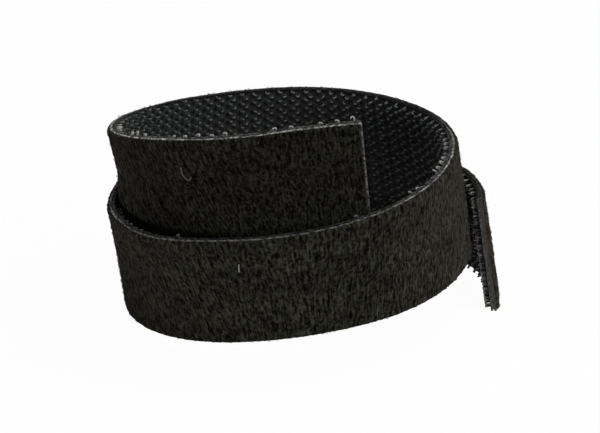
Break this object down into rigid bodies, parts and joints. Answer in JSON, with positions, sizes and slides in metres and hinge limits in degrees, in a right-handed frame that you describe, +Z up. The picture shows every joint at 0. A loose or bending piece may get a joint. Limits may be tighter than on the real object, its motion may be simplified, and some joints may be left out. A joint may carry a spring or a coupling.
{
  "type": "hook and loop tape roll",
  "caption": "Loose standing coil of back-to-back hook and loop tape, loops outside and hooks inside, with an upper lead and a lower tail that flex.",
  "frame": {"origin": "on the surface that the coil stands on, under the middle of its box", "axes": "+Z up, +Y away from the camera of the picture, +X to its right"},
  "size_m": [0.0656, 0.07, 0.043],
  "materials": {
    "loop_pile": "napped black loop pile, matt",
    "loop_web": "woven black ground of the loop tape, pale at its cut edges",
    "bond_film": "dark laminating film",
    "hook_web": "woven black ground of the hook tape",
    "hooks": "black nylon filament hooks, low gloss"
  },
  "bodies": {
    "coil": {"coil_loop_pile": "loop_pile", "coil_loop_web": "loop_web", "coil_bond_film": "bond_film", "coil_hook_web": "hook_web", "coil_hooks": "hooks"},
    "lead": {"lead_loop_pile": "loop_pile", "lead_loop_web": "loop_web", "lead_bond_film": "bond_film", "lead_hook_web": "hook_web", "lead_hooks": "hooks"},
    "tail": {"tail_loop_pile": "loop_pile", "tail_loop_web": "loop_web", "tail_bond_film": "bond_film", "tail_hook_web": "hook_web", "tail_hooks": "hooks"}
  },
  "joints": [
    {"name": "lead_flex", "type": "hinge", "parent": "coil", "child": "lead", "pos_m": [-0.01671, -0.02264, 0.02866], "axis": [-0.3759, -0.0919, 0.9221], "range_deg": [0, 45], "stiffness_Nm_per_rad": 0.002},
    {"name": "tail_peel", "type": "hinge", "parent": "coil", "child": "tail", "pos_m": [0.02233, 0.0259, 0.00969], "axis": [-0.1657, -0.1758, 0.9704], "range_deg": [0, 60], "stiffness_Nm_per_rad": 0.002}
  ]
}
